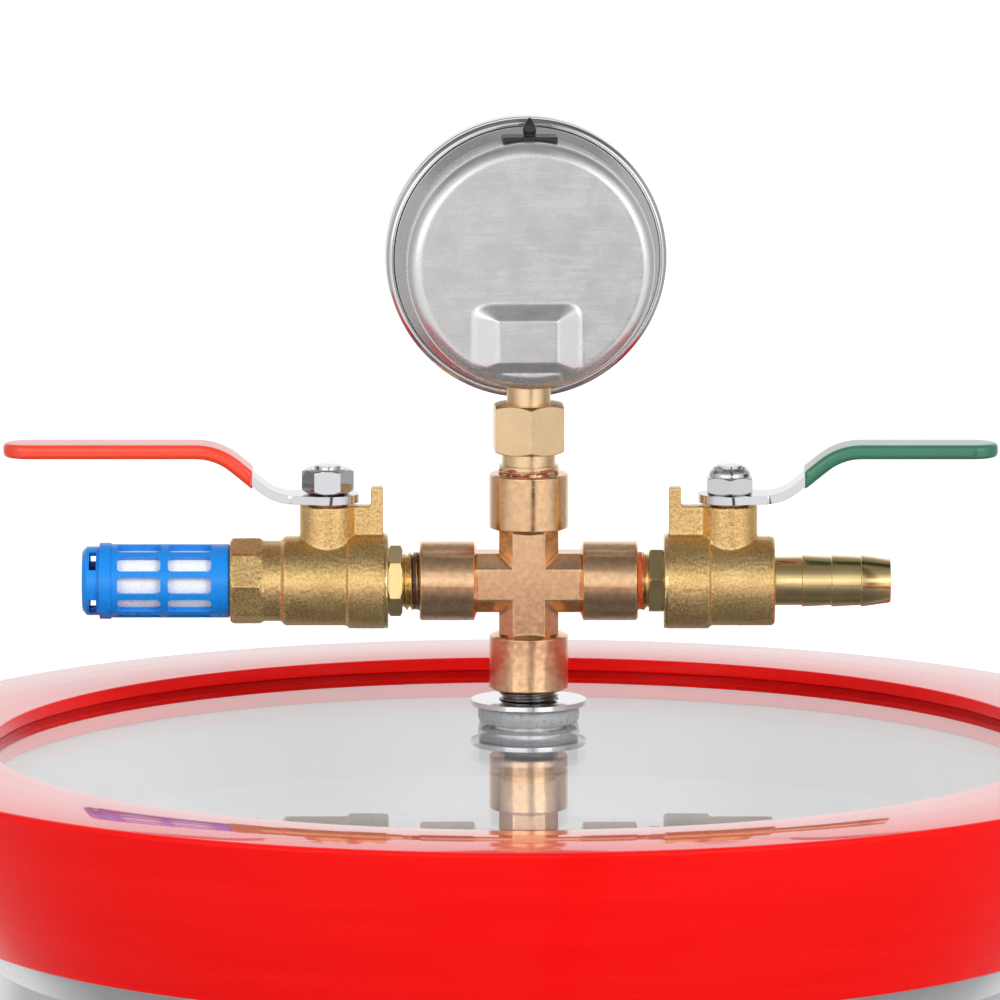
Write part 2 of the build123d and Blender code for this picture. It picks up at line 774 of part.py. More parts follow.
def make_movement():
    """Sector gear, pinion arbor, plates and posts. The pinion axis is the dial's axis."""
    centre_distance = gear_module * (pinion_teeth + sector_teeth) / 2
    front = Plane.XZ.offset(-gear_place)
    pinion_face = make_face(Polyline(*tooth_ring(pinion_teeth, pinion_teeth, 0, pi), close=True))
    arbor_end = needle_place + needle_thickness + needle_stickout
    pinion = extrude(front * pinion_face, -gear_thickness)
    arbor_start = rear_plate_place - arbor_stickout
    pinion += rod(arbor_start, arbor_end, arbor_diameter, Axis.Y)
    pivot = Pos(0, 0, -centre_distance)
    sector_outline = tooth_ring(sector_teeth, sector_cut_teeth, -2, pi / sector_teeth)
    sector_outline = [(sector_root, 0.0), (-sector_root, 0.0)] + sector_outline
    sector = extrude(front * make_face(Polyline(*sector_outline, close=True)), -gear_thickness)
    hub_end = gear_place + gear_thickness + gear_hub_margin
    sector += rod(gear_place - gear_hub_margin, hub_end, gear_hub_diameter, Axis.Y)
    arm_x, arm_z = sector_arm_place
    arm = Box(sector_arm[0], gear_thickness, sector_arm[1])
    sector += Pos(arm_x, gear_place + gear_thickness / 2, arm_z) * arm
    pivot_end = front_plate_place + plate_thickness + arbor_stickout
    sector += rod(arbor_start, pivot_end, arbor_diameter, Axis.Y)
    low = socket_block_top
    middle = low + plate_size[1] / 2
    plates = []
    blank = Box(plate_size[0], plate_thickness, plate_size[1])
    for place in (rear_plate_place, front_plate_place):
        plate = Pos(0, place + plate_thickness / 2, middle) * blank
        hole = rod(place - 1, place + plate_thickness + 1, arbor_diameter + 2 * arbor_gap, Axis.Y)
        plates.append(plate - hole - pivot * hole)
    inset = post_diameter / 2 + post_margin
    reach = plate_size[0] / 2 - inset
    low_post = Pos(reach, 0, low + inset)
    high_post = Pos(-reach, 0, low + plate_size[1] - inset)
    post = rod(rear_plate_place + plate_thickness, front_plate_place, post_diameter, Axis.Y)
    pillar = rod(front_plate_place + plate_thickness, dial_place, post_diameter, Axis.Y)
    posts = [low_post * post, high_post * post]
    pillars = [low_post * pillar, high_post * pillar]
    return pinion, pivot * sector, plates[0], plates[1], Compound(posts), Compound(pillars)


def make_pressure_tube():
    """Flattened C-shaped tube from the socket block, its end piece and the link to the sector."""
    section = Pos(tube_middle, -tube_radius) * RectangleRounded(tube_width, tube_height, 1.2)
    hole = Pos(tube_middle, -tube_radius) * RectangleRounded(
        tube_width - 2 * tube_wall, tube_height - 2 * tube_wall, 1.2 - tube_wall
    )
    bent = revolve(Plane.YZ * (section - hole), Axis.Y, -tube_sweep)
    tip_angle = tube_start + tube_sweep
    clamp = Box(tip_length, tube_width, tube_height + 2 * tip_margin)
    ear = Box(tip_length, link_place - tube_middle, tube_height)
    tip = Pos(tip_length / 2, tube_middle, -tube_radius) * clamp
    tip += Pos(tip_length / 2, (tube_middle + link_place) / 2, -tube_radius) * ear
    pin_angle = radians(tip_angle) + tip_length / 2 / tube_radius
    pin = (tube_radius * sin(pin_angle), -tube_radius * cos(pin_angle))
    link_x, link_z = link_pin_place
    line = Polyline(pin, (link_x, link_z - gear_module * (pinion_teeth + sector_teeth) / 2))
    link = extrude(Plane.XZ.offset(-link_place) * trace(line, link_width), -link_thickness)
    return Rot(0, -tube_start, 0) * bent, Rot(0, -tip_angle, 0) * tip, link


def make_plug():
    """Rubber vent plug: saddle flange, stalk in the case hole and a pointed nub."""
    r = plug_nub_radius
    h = plug_nub_height
    flange_top = case_radius + plug_thickness
    nub = turned(
        [(0, flange_top), (r * 0.8, flange_top), (r, flange_top + h * 0.3), (r * 0.75, flange_top + h * 0.62),
         (r * 0.3, flange_top + h * 0.92), (0, flange_top + h)]
    )
    flange = Pos(0, 0, case_radius) * Box(plug_width, plug_width * 0.55, 2 * plug_thickness)
    flange = flange - rod(case_back, case_front, 2 * case_radius + 0.02, Axis.Y)
    stalk = rod(case_radius - case_wall - plug_stalk_length, flange_top, plug_hole - 2 * plug_stalk_gap)
    return Pos(0, plug_place, 0) * (nub + flange + stalk)


def make_needle():
    outline = Polyline(
        (-needle_tail, needle_width * 0.9), (0, needle_width / 2),
        (needle_length, needle_point / 2), (needle_length, -needle_point / 2),
        (0, -needle_width / 2), (-needle_tail, -needle_width * 0.9), close=True,
    )
    blade = make_face(outline) + Circle(needle_hub_diameter / 2)
    blade = Plane.XZ.offset(-needle_place) * Rot(0, 0, needle_rest) * blade
    hub_hole = rod(needle_place - 1, needle_place + 2, arbor_diameter + 0.02, Axis.Y)
    return extrude(blade, -needle_thickness) - hub_hole


def make_gauge():
    pinion, sector, rear_plate, front_plate, posts, pillars = make_movement()
    pressure_tube, tip, link = make_pressure_tube()
    lens_radius = bezel_radius - lens_margin
    bezel = make_bezel()
    lens_end = bezel_front - bezel_wall
    lens_start = lens_end - lens_thickness
    seal = tube(case_front, lens_start, 2 * (case_lip_radius - 0.1), 2 * bezel_window_radius, Axis.Y)
    lens = rod(lens_start, lens_end, 2 * (lens_radius - 0.1), Axis.Y)
    dial = rod(dial_place, dial_place + dial_thickness, 2 * dial_radius, Axis.Y)
    dial -= rod(dial_place - 1, dial_place + 2, arbor_diameter + 1.0, Axis.Y)
    bottom = cross_height + cross_reach - thread_depth + thread_clearance - gauge_height
    thread_top = socket_thread_end - gauge_height
    hex_low = socket_hex_bottom - gauge_height
    hex_high = socket_hex_top - gauge_height
    socket = rod(bottom, thread_top, pipe_thread) + rod(thread_top - 0.1, hex_low, socket_neck_diameter)
    hexagon = nut(socket_flats, hex_high - hex_low, 0.01, spin=30)
    socket += Pos(0, 0, hex_low) * hexagon
    block_low = socket_block_top - socket_block_height
    socket += rod(hex_high - 0.1, block_low + 1, socket_post_diameter)
    block_depth = socket_block_front - socket_block_back
    block_middle = (socket_block_front + socket_block_back) / 2
    block = Box(socket_block_width, block_depth, socket_block_height)
    socket += Pos(0, block_middle, socket_block_top - socket_block_height / 2) * block
    socket -= rod(bottom - 1, socket_block_top - 3, socket_bore)
    return {
        "gauge_case": make_case(),
        "gauge_bezel": bezel,
        "gauge_lens_seal": seal,
        "gauge_lens": lens,
        "gauge_dial": dial,
        "gauge_socket": socket,
        "gauge_rear_plate": rear_plate,
        "gauge_front_plate": front_plate,
        "gauge_posts": posts,
        "gauge_dial_pillars": pillars,
        "gauge_pressure_tube": pressure_tube,
        "gauge_tube_tip": tip,
        "gauge_link": link,
        "gauge_vent_plug": make_plug(),
        "gauge_sector": sector,
        "gauge_pinion": pinion,
        "gauge_needle": make_needle(),
    }


for name, solid in make_gauge().items():
    nodes[name] = gauge_frame * solid

for name, solid in nodes.items():
    export_step(solid, f"parts/{name}.step")
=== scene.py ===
"""The looks of the vacuum chamber: finishes, threads, sealant, the dial's print and the studio."""

import json
import math

import bmesh
import bpy
from mathutils import Matrix, Vector, noise


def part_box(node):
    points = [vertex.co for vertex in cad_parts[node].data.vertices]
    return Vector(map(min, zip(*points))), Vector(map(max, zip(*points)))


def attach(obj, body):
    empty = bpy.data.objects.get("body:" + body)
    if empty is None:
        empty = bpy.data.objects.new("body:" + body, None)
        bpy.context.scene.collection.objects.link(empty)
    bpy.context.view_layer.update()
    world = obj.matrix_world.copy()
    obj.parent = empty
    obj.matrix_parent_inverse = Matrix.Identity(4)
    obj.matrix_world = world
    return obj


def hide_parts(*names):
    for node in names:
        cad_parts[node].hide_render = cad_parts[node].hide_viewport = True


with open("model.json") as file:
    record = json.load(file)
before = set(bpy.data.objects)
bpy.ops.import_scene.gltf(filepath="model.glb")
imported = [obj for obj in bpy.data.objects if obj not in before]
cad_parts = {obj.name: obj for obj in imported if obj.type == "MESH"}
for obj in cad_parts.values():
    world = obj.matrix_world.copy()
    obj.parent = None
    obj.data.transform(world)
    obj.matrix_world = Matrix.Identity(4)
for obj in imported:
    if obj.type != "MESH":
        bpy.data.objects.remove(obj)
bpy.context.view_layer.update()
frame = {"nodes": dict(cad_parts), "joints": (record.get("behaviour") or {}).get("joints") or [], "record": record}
MM = 0.001
NODES = frame["nodes"]
JOINTS = {joint["name"]: joint for joint in frame["joints"]}
BODY_OF = {node: body for body, group in frame["record"]["behaviour"]["bodies"].items() for node in group}
SLOT_OF = {part["node"]: part["material_slot"] for part in frame["record"]["subparts"]}


def middle(node):
    """Centre of a node's box."""
    low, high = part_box(node)
    return (low + high) / 2


# ---------------------------------------------------------------- places read from the frame
RING_LOW, RING_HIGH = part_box("lid_ring")
GLASS_LOW, GLASS_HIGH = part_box("lid_glass")
POT_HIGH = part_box("pot")[1]
RING_TOP = RING_HIGH.z
GLASS_TOP = GLASS_HIGH.z
PORT = middle("upper_washer").to_2d()
CROSS = middle("cross_fitting")
CROSS_REACH = (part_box("cross_fitting")[1].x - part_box("cross_fitting")[0].x) / 2
GAUGE = Vector(JOINTS["gauge_needle_turn"]["pos_m"])
GAUGE_AXIS = Vector(JOINTS["gauge_needle_turn"]["axis"])
GROUND = Matrix.Identity(4)

# ---------------------------------------------------------------- sizes that several pieces share
PIPE_PITCH = 1.337 * MM  # of the 1/4 inch pipe thread
FINE_STEP = 0.12 * MM  # between the loops of points in a thread or a chamfer
STACK_BORE = 6.75 * MM  # hole through the port's seals, washers and nut
NUT_BORE = 3.05 * MM  # hole through a stem nut
POT_RADIUS = 118.5 * MM
POT_WALL = 1.2 * MM
COLLAR_RADIUS = 125.0 * MM
HAIR = 0.02 * MM  # stands for the axis, which no outline may touch


def upright(place):
    """Frame whose local Z is up."""
    return Matrix.Translation(place)


def along_pipe(side):
    """Frame at the cross whose local Z runs out through that valve."""
    turn = math.pi / 2 if side == "outlet" else -math.pi / 2
    return Matrix.Translation(CROSS) @ Matrix.Rotation(turn, 4, "Y")


def gauge_frame():
    """Frame at the dial's middle: Z comes out of its face, X is right and Y up to a reader of the dial."""
    front = GAUGE_AXIS.normalized()
    up = Vector((0, 0, 1))
    return Matrix.Translation(GAUGE) @ Matrix((up.cross(front), up, front)).transposed().to_4x4()


# ---------------------------------------------------------------- node materials
class Paint:
    """A node material under construction."""

    def __init__(self, name):
        self.material = bpy.data.materials.new(name)
        self.material.use_nodes = True
        self.tree = self.material.node_tree
        self.tree.nodes.clear()
        self.output = self.node("OutputMaterial")
        self.shader = self.node("BsdfPrincipled")
        self.join(self.shader.outputs[0], self.output.inputs[0])
        self.place = self.node("TexCoord").outputs["Object"]

    def node(self, kind):
        return self.tree.nodes.new("ShaderNode" + kind)

    def join(self, source, target):
        self.tree.links.new(source, target)

    def put(self, target, value):
        if isinstance(value, bpy.types.NodeSocket):
            self.join(value, target)
        else:
            target.default_value = value

    def set(self, **values):
        for key, value in values.items():
            self.put(self.shader.inputs[key.replace("_", " ")], value)
        return self

    def scaled(self, factors):
        """The place stretched by three factors."""
        node = self.node("Mapping")
        self.join(self.place, node.inputs["Vector"])
        node.inputs["Scale"].default_value = factors
        return node.outputs[0]

    def noise(self, scale, detail=3.0, rough=0.5, source=None):
        node = self.node("TexNoise")
        self.join(source or self.place, node.inputs["Vector"])
        node.inputs["Scale"].default_value = scale
        node.inputs["Detail"].default_value = detail
        node.inputs["Roughness"].default_value = rough
        return node.outputs["Fac"]

    def cells(self, scale):
        node = self.node("TexVoronoi")
        self.join(self.place, node.inputs["Vector"])
        node.inputs["Scale"].default_value = scale
        return node.outputs["Distance"]

    def ramp(self, source, stops):
        """stops are (place, colour) pairs."""
        node = self.node("ValToRGB")
        self.join(source, node.inputs["Fac"])
        band = node.color_ramp
        while len(band.elements) < len(stops):
            band.elements.new(0.5)
        for element, (place, colour) in zip(band.elements, stops):
            element.position = place
            element.color = (*colour, 1.0)
        return node.outputs["Color"]

    def span(self, source, low, high, start=0.0, end=1.0):
        """source from start..end mapped to low..high."""
        node = self.node("MapRange")
        self.join(source, node.inputs["Value"])
        for key, value in (("From Min", start), ("From Max", end), ("To Min", low), ("To Max", high)):
            node.inputs[key].default_value = value
        return node.outputs["Result"]

    def maths(self, operation, *values):
        node = self.node("Math")
        node.operation = operation
        for target, value in zip(node.inputs, values):
            self.put(target, value)
        return node.outputs[0]

    def bump(self, height, distance, strength=1.0, base=None):
        node = self.node("Bump")
        self.join(height, node.inputs["Height"])
        node.inputs["Distance"].default_value = distance
        node.inputs["Strength"].default_value = strength
        if base:
            self.join(base, node.inputs["Normal"])
        return node.outputs[0]

    def edge(self, radius):
        """Normal rounded over sharp edges."""
        node = self.node("Bevel")
        node.samples = 4
        node.inputs["Radius"].default_value = radius
        return node.outputs[0]

    def lathe_marks(self, place, fine):
        """Coordinates for turning marks about a frame's Z axis: fine along and outwards, slow around."""
        local = place.inverted()
        turned = self.node("Mapping")
        turned.inputs["Location"].default_value = local.to_translation()
        turned.inputs["Rotation"].default_value = local.to_euler()
        self.join(self.place, turned.inputs["Vector"])
        parts = self.node("SeparateXYZ")
        self.join(turned.outputs[0], parts.inputs[0])
        x, y, z = parts.outputs
        squares = [self.maths("MULTIPLY", value, value) for value in (x, y)]
        radius = self.maths("SQRT", self.maths("ADD", *squares))
        joined = self.node("CombineXYZ")
        self.join(self.maths("MULTIPLY", z, fine), joined.inputs[0])
        self.join(self.maths("MULTIPLY", radius, fine), joined.inputs[1])
        around = self.maths("COSINE", self.maths("ARCTAN2", y, x))
        self.join(self.maths("MULTIPLY", around, 1.5), joined.inputs[2])
        return joined.outputs[0]


def darker(colour, share):
    """The colour with that share of its light taken away."""
    return tuple(c * (1 - share) for c in colour)


def metal(name, colour, rough, lathe=None, fine=1500.0, mark=0.01, stain=0.06, patch=35.0, whole=1.0):
    """Bare or plated metal with tool marks, turned about the lathe frame or drawn along X, and faint stains.

    fine is how close the marks lie and mark how deep they are in millimetres; stain is the share by which the
    stains are darker and patch how close they lie; whole is the metallic share of a satin finish.
    """
    paint = Paint(name)
    lines = paint.lathe_marks(lathe, fine) if lathe else paint.scaled((60, fine, fine))
    streak = paint.noise(1.0, 4.0, 0.6, lines)
    cloud = paint.noise(patch, 5.0, 0.6)
    paint.set(Base_Color=paint.ramp(cloud, [(0.35, darker(colour, stain)), (0.65, colour)]), Metallic=whole)
    paint.set(Roughness=paint.span(paint.maths("ADD", streak, cloud), rough * 0.75, rough * 1.25, 0.7, 1.3))
    return paint.set(Normal=paint.bump(streak, mark * MM, 0.5, paint.edge(0.15 * MM))).material


def cast(name, colour, dark):
    """Sand-cast brass: grains and pits, darker in the pits."""
    paint = Paint(name)
    grain = paint.noise(2300.0, 4.0, 0.7)
    shade = paint.noise(150.0, 4.0, 0.6)
    tone = paint.maths("ADD", paint.maths("MULTIPLY", grain, 0.8), paint.maths("MULTIPLY", shade, 0.2))
    paint.set(Base_Color=paint.ramp(tone, [(0.40, dark), (0.56, colour)]), Metallic=1.0)
    paint.set(Roughness=paint.span(grain, 0.30, 0.46, 0.35, 0.65))
    return paint.set(Normal=paint.bump(grain, 0.09 * MM, 0.75)).material


def plastic(name, colour, rough, peel=0.01, coat=0.3, grain=420.0):
    """Dipped or moulded plastic with a soft orange peel."""
    paint = Paint(name)
    skin = paint.noise(grain, 3.0)
    tint = paint.noise(60.0, 3.0)
    paint.set(Base_Color=paint.ramp(tint, [(0.3, darker(colour, 0.1)), (0.7, colour)]))
    paint.set(Coat_Weight=coat, Coat_Roughness=0.05)
    paint.set(Roughness=paint.span(skin, rough * 0.8, rough * 1.2, 0.3, 0.7))
    return paint.set(Normal=paint.bump(skin, peel * MM, 0.5)).material


def silicone(name, colour, gloss):
    """Moulded silicone, faintly marked and unevenly shiny; gloss is the refractive index of its skin."""
    paint = Paint(name)
    flow = paint.noise(1.0, 4.0, 0.6, paint.lathe_marks(GROUND, 160.0))
    speckle = paint.noise(2400.0, 2.0)
    paint.set(Base_Color=paint.ramp(flow, [(0.3, darker(colour, 0.07)), (0.7, colour)]))
    paint.set(Specular_IOR_Level=0.12)
    paint.set(Roughness=paint.span(paint.maths("ADD", speckle, flow), 0.16, 0.3, 0.75, 1.3))
    paint.set(Coat_Weight=1.0, Coat_IOR=gloss, Coat_Roughness=0.04)
    return paint.set(Normal=paint.bump(flow, 0.01 * MM, 0.2)).material


def glass(name, tint):
    """Clear glass that lets light through to what lies behind it."""
    paint = Paint(name)
    smear = paint.noise(30.0, 4.0)
    paint.set(Base_Color=(*tint, 1.0), Transmission_Weight=1.0, IOR=1.5)
    paint.set(Roughness=paint.span(smear, 0.0, 0.012, 0.45, 0.75))
    clear = paint.node("BsdfTransparent")
    clear.inputs[0].default_value = (*tint, 1.0)
    blend = paint.node("MixShader")
    paint.join(paint.node("LightPath").outputs["Is Shadow Ray"], blend.inputs[0])
    paint.join(paint.shader.outputs[0], blend.inputs[1])
    paint.join(clear.outputs[0], blend.inputs[2])
    paint.join(blend.outputs[0], paint.output.inputs[0])
    return paint.material


def rubber(name, colour, rough, sheer=0.0):
    """Moulded rubber; sheer is how much light passes through it."""
    paint = Paint(name)
    skin = paint.noise(700.0, 4.0)
    paint.set(Base_Color=paint.ramp(skin, [(0.3, darker(colour, 0.2)), (0.7, colour)]))
    paint.set(Transmission_Weight=sheer)
    paint.set(Roughness=paint.span(skin, rough * 0.85, rough * 1.15, 0.3, 0.7))
    return paint.set(Normal=paint.bump(skin, 0.02 * MM, 0.4)).material


def porous(name, colour):
    """Sintered plastic beads."""
    paint = Paint(name)
    beads = paint.cells(1700.0)
    paint.set(Base_Color=paint.ramp(beads, [(0.2, colour), (0.8, darker(colour, 0.12))]), Roughness=0.7)
    return paint.set(Normal=paint.bump(paint.maths("SUBTRACT", 1.0, beads), 0.08 * MM, 0.6)).material


def painted(name, colour, rough=0.4):
    """Flat paint or ink."""
    paint = Paint(name)
    skin = paint.noise(500.0, 3.0)
    paint.set(Base_Color=paint.ramp(skin, [(0.3, darker(colour, 0.06)), (0.7, colour)]))
    paint.set(Roughness=paint.span(skin, rough * 0.9, rough * 1.1, 0.3, 0.7))
    return paint.set(Normal=paint.bump(skin, 0.01 * MM, 0.3)).material


TURNED_BRASS = (0.88, 0.66, 0.32)
STACK = upright((*PORT, 0))
MATERIALS = {
    "stainless_steel": metal("stainless_steel", (0.68, 0.68, 0.69), 0.22, GROUND, 1600.0, 0.008, whole=0.6),
    "silicone_red": silicone("silicone_red", (0.95, 0.004, 0.003), 1.15),
    "lid_glass": glass("lid_glass", (0.97, 0.985, 0.99)),
    "seal_rubber": rubber("seal_rubber", (0.56, 0.57, 0.58), 0.3, 0.3),
    "zinc_steel": metal("zinc_steel", (0.80, 0.80, 0.82), 0.12, STACK, 1500.0, 0.006, 0.03),
    "dark_thread": metal("dark_thread", (0.42, 0.42, 0.43), 0.2, STACK, 900.0, 0.01, 0.6, 300.0),
    "bronze": metal("bronze", (0.93, 0.59, 0.34), 0.2, None, 1500.0, 0.012, 0.2, 700.0),
    "cast_brass": cast("cast_brass", (1.0, 0.72, 0.33), (0.66, 0.40, 0.14)),
    "turned_brass": metal("turned_brass", TURNED_BRASS, 0.17, along_pipe("outlet"), 900.0, 0.01, 0.15, 120.0),
    "dark_copper": metal("dark_copper", (0.45, 0.25, 0.16), 0.3, None, 900.0, 0.01, 0.4),
    "chrome_plate": metal("chrome_plate", (0.74, 0.74, 0.76), 0.1, None, 900.0, 0.006, 0.04),
    "seat_plastic": plastic("seat_plastic", (0.9, 0.9, 0.89), 0.45),
    "grip_red": plastic("grip_red", (0.93, 0.06, 0.02), 0.16, 0.006, 0.4),
    "grip_green": plastic("grip_green", (0.035, 0.19, 0.11), 0.16, 0.006, 0.4),
    "silencer_blue": plastic("silencer_blue", (0.002, 0.27, 0.86), 0.3, 0.01, 0.1),
    "porous_white": porous("porous_white", (0.98, 0.98, 0.98)),
    "gauge_steel": metal("gauge_steel", (0.72, 0.72, 0.72), 0.26, None, 1500.0, 0.002, 0.04, 200.0, 0.8),
    "bezel_steel": metal("bezel_steel", (0.78, 0.78, 0.79), 0.13, gauge_frame(), 1200.0, 0.008),
    "gauge_glass": glass("gauge_glass", (0.97, 0.98, 0.98)),
    "dial_white": painted("dial_white", (0.86, 0.86, 0.84)),
    "needle_black": painted("needle_black", (0.02, 0.02, 0.02)),
    "movement_brass": metal("movement_brass", TURNED_BRASS, 0.25, gauge_frame(), 1100.0, 0.01, 0.2),
    "black_rubber": rubber("black_rubber", (0.02, 0.02, 0.021), 0.35),
}
# The pot's inside: its satin roughness is its finish; its grey, darker than the outside's steel, is painted shade.
POT_INSIDE_SHADED = metal("pot_inside_satin_painted_shade", (0.50, 0.50, 0.52), 0.5, GROUND, 900.0, 0.01, 0.02, whole=0.1)
# The ring's top face: a lighter, glossier copy of the ring's silicone, which is painted sheen.
RING_TOP_SHEEN = silicone("ring_top_painted_sheen", (0.95, 0.01, 0.012), 1.7)
SOCKET_BRASS = metal("socket_brass", (0.93, 0.67, 0.40), 0.28, None, 1200.0, 0.004, 0.1, 200.0)
SEALANT_BROWN = plastic("sealant_brown", (0.34, 0.05, 0.03), 0.3, 0.06, 0.3, 700.0)
# Near-black band at the inlet's joint: painted shade of the gap there, not sealant.
GAP_SHADE_DARK = plastic("painted_gap_shade", (0.10, 0.035, 0.02), 0.3, 0.06, 0.3, 700.0)
SEALANT_ORANGE = plastic("sealant_orange", (0.78, 0.11, 0.02), 0.3, 0.06, 0.3, 700.0)
SEALANT_ROSE = plastic("sealant_rose", (0.66, 0.06, 0.11), 0.4, 0.06, 0.2, 700.0)
DIAL_PRINT = painted("dial_print", (0.015, 0.015, 0.016), 0.5)
NUT_NYLON = plastic("nut_nylon", (0.10, 0.10, 0.11), 0.3)


# ---------------------------------------------------------------- meshes
def as_object(name, mesh, node=None, material=None, sharp=35.0, replaces=True, body=None):
    """A finished piece: smooth but for its sharp edges, on its node's body and slot, in the node's place."""
    bm = bmesh.new()
    bm.from_mesh(mesh)
    bmesh.ops.recalc_face_normals(bm, faces=bm.faces)
    bm.to_mesh(mesh)
    bm.free()
    mesh.polygons.foreach_set("use_smooth", [True] * len(mesh.polygons))
    mesh.set_sharp_from_angle(angle=math.radians(sharp))
    piece = bpy.data.objects.new(name, mesh)
    bpy.context.scene.collection.objects.link(piece)
    mesh.materials.clear()
    mesh.materials.append(material or MATERIALS[SLOT_OF[node]])
    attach(piece, body or BODY_OF[node])
    if node:
        if replaces:
            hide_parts(node)
    return piece


def as_piece(name, vertices, faces, node=None, **extra):
    mesh = bpy.data.meshes.new(name)
    mesh.from_pydata([tuple(v) for v in vertices], [], faces)
    return as_object(name, mesh, node, **extra)


def rounded(points, radii, steps=5):
    """A closed outline of (radius, height) points with its corners rounded."""
    result = []
    for n, (point, radius) in enumerate(zip(points, radii)):
        here = Vector(point)
        if radius <= 0:
            result.append(tuple(here))
            continue
        before = Vector(points[n - 1]) - here
        after = Vector(points[(n + 1) % len(points)]) - here
        a, b = before.normalized(), after.normalized()
        half = a.angle(b) / 2
        reach = min(radius / math.tan(half), 0.49 * before.length, 0.49 * after.length)
        centre = here + (a + b).normalized() * (reach / math.cos(half))
        start, end = here + a * reach - centre, here + b * reach - centre
        turn = start.angle_signed(end)
        for k in range(steps + 1):
            result.append(tuple(centre + Matrix.Rotation(-turn * k / steps, 2) @ start))
    return result


def ring_loop(place, height, count, radius):
    """A loop of points about place's Z axis; radius is a number or a function of angle and height."""
    loop = []
    for k in range(count):
        angle = 2 * math.pi * k / count
        r = radius(angle, height) if callable(radius) else radius
        loop.append(place @ Vector((r * math.cos(angle), r * math.sin(angle), height)))
    return loop


def skinned(loops, closed=True):
    """Vertices and faces over loops of equal length; closed joins last to first, else the ends are capped."""
    count = len(loops[0])
    vertices = [point for loop in loops for point in loop]
    faces = []
    for n in range(len(loops) if closed else len(loops) - 1):
        a, b = n * count, ((n + 1) % len(loops)) * count
        for k in range(count):
            j = (k + 1) % count
            faces.append((a + k, a + j, b + j, b + k))
    if not closed:
        faces.append(tuple(range(count))[::-1])
        faces.append(tuple(range((len(loops) - 1) * count, len(loops) * count)))
    return vertices, faces


def lathe(name, place, outline, node=None, count=96, **extra):
    """Solid of revolution of a closed outline of (radius, height) points that stay off the axis."""
    return as_piece(name, *skinned([ring_loop(place, z, count, r) for r, z in outline]), node=node, **extra)


def stations(low, high, step):
    """Evenly spaced values from low to high, about step apart."""
    count = max(2, round((high - low) / step) + 1)
    return [low + (high - low) * n / (count - 1) for n in range(count)]


def thread(radius, depth, pitch, start, end):
    """Radius of a screw thread by angle and height, fading at both ends."""
    def shape(angle, height):
        turn = height / pitch - angle / (2 * math.pi)
        tooth = abs(2 * (turn - math.floor(turn)) - 1)
        tooth = min(max(1.25 * tooth - 0.12, 0.0), 1.0)
        fade = min(1.0, max(0.0, min(height - start, end - height) / (0.8 * pitch)))
        return radius - depth * (1 - tooth * fade)
    return shape


def hexagon(flats, low, high, chamfer=0.1 * MM):
    """Radius of a chamfered hexagon with a corner on local X, by angle and height."""
    apothem = flats / 2
    slope = math.tan(math.radians(30))

    def shape(angle, height):
        sector = angle % (math.pi / 3) - math.pi / 6
        crown = apothem - chamfer + min(height - low, high - height) / slope
        return min(apothem / math.cos(sector), crown)
    return shape


def hex_heights(low, high):
    """Heights that are dense in the chamfers."""
    edge = min(1.4 * MM, (high - low) / 3)
    return (
        stations(low, low + edge, FINE_STEP) + stations(low + edge, high - edge, 3 * MM)[1:-1]
        + stations(high - edge, high, FINE_STEP)
    )


def bar(name, place, parts, node=None, bore=None, count=72, **extra):
    """A bar of (heights, radius or shape) stretches, hollowed by a bore radius if given."""
    loops = [ring_loop(place, height, count, radius) for heights, radius in parts for height in heights]
    if bore:
        loops.append(ring_loop(place, parts[-1][0][-1], count, bore))
        loops.append(ring_loop(place, parts[0][0][0], count, bore))
    return as_piece(name, *skinned(loops, closed=bool(bore)), node=node, **extra)


def copy_of(node):
    """A welded copy of a CAD node's mesh, ready for modifiers."""
    mesh = NODES[node].data.copy()
    bm = bmesh.new()
    bm.from_mesh(mesh)
    bmesh.ops.remove_doubles(bm, verts=bm.verts, dist=0.002 * MM)
    bmesh.ops.dissolve_degenerate(bm, dist=0.002 * MM, edges=bm.edges)
    bm.to_mesh(mesh)
    bm.free()
    if "custom_normal" in mesh.attributes:
        mesh.attributes.remove(mesh.attributes["custom_normal"])
    return mesh


def modified(mesh, *modifiers):
    """The mesh after a list of (type, settings) modifiers."""
    helper = bpy.data.objects.new("helper", mesh)
    bpy.context.scene.collection.objects.link(helper)
    for kind, settings in modifiers:
        step = helper.modifiers.new(kind.lower(), kind)
        for key, value in settings.items():
            setattr(step, key, value)
    graph = bpy.context.evaluated_depsgraph_get()
    result = bpy.data.meshes.new_from_object(helper.evaluated_get(graph))
    bpy.data.objects.remove(helper)
    return result


def bevelled(node, width, segments=3, angle=28.0, **extra):
    """The node's own shape with its edges broken."""
    mesh = modified(
        copy_of(node),
        ("BEVEL", {"width": width * MM, "segments": segments, "limit_method": "ANGLE",
                   "angle_limit": math.radians(angle), "use_clamp_overlap": True}),
        ("WEIGHTED_NORMAL", {"keep_sharp": True}),
    )
    return as_object(f"{node}_shell", mesh, node, sharp=45, **extra)


def softened(node, voxel, smooth, relief=None, keep=None):
    """The node's own shape with blended corners, as from a mould; relief moves each vertex outwards."""
    mesh = modified(
        copy_of(node),
        ("REMESH", {"mode": "VOXEL", "voxel_size": voxel * MM}),
        ("SMOOTH", {"factor": 0.5, "iterations": smooth}),
    )
    if relief:
        normals = [v.normal.copy() for v in mesh.vertices]
        for vertex, normal in zip(mesh.vertices, normals):
            vertex.co += normal * relief(vertex.co)
    if keep:
        bm = bmesh.new()
        bm.from_mesh(mesh)
        bmesh.ops.delete(bm, geom=[v for v in bm.verts if not keep(v.co)], context="VERTS")
        bm.to_mesh(mesh)
        bm.free()
    return as_object(f"{node}_skin", mesh, node, sharp=60)


